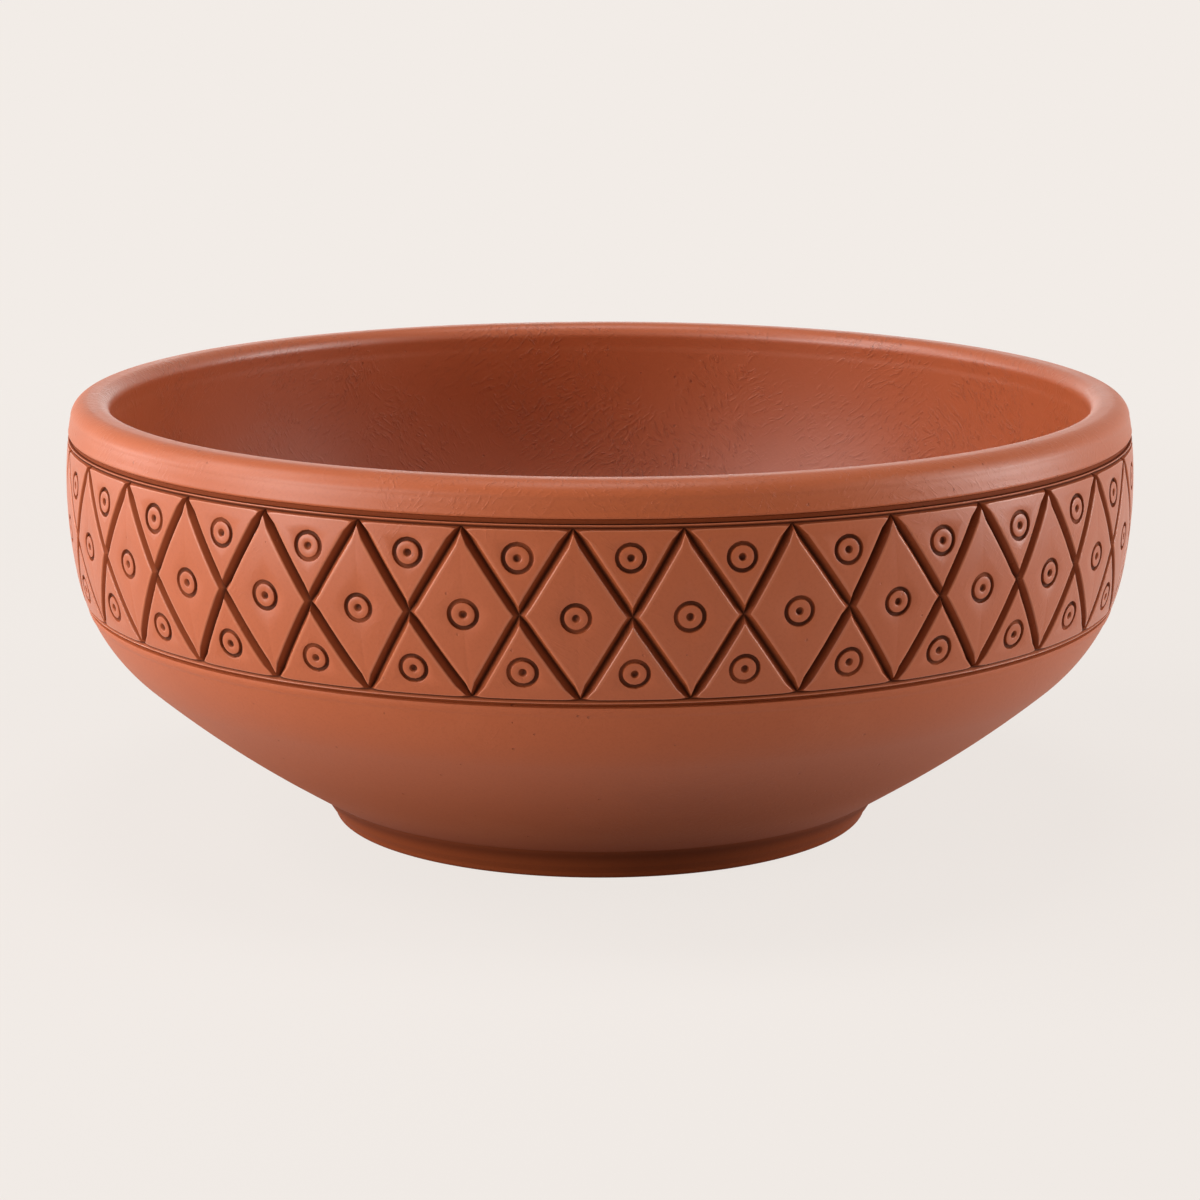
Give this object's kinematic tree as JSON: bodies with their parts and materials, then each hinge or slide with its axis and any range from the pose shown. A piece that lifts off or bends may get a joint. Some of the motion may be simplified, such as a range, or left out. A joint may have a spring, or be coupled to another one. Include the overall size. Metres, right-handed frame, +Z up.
{
  "type": "clay serving bowl",
  "caption": "Round unglazed clay serving bowl with a low foot ring, a flaring flank, an upright band carved with a diamond lattice, and a thick rounded rim.",
  "frame": {"origin": "centre of the foot ring's flat resting face", "axes": "+Z up along the bowl's axis, through the mouth; the pictured front is towards -Y"},
  "size_m": [0.2798, 0.28, 0.1132],
  "materials": {
    "fired_clay": "unglazed, burnished satin",
    "foot_clay": "unglazed, plain",
    "carved_clay": "unglazed, carved, burnished satin",
    "rim_clay": "unglazed, burnished satin",
    "fired_slip": "unglazed, matt"
  },
  "bodies": {
    "root": {"bowl_body": "fired_clay", "foot_ring": "foot_clay", "carved_belt": "carved_clay", "rim_collar": "rim_clay", "foot_slip_seam": "fired_slip", "belt_slip_seam": "fired_slip", "rim_slip_seam": "fired_slip"}
  },
  "joints": []
}
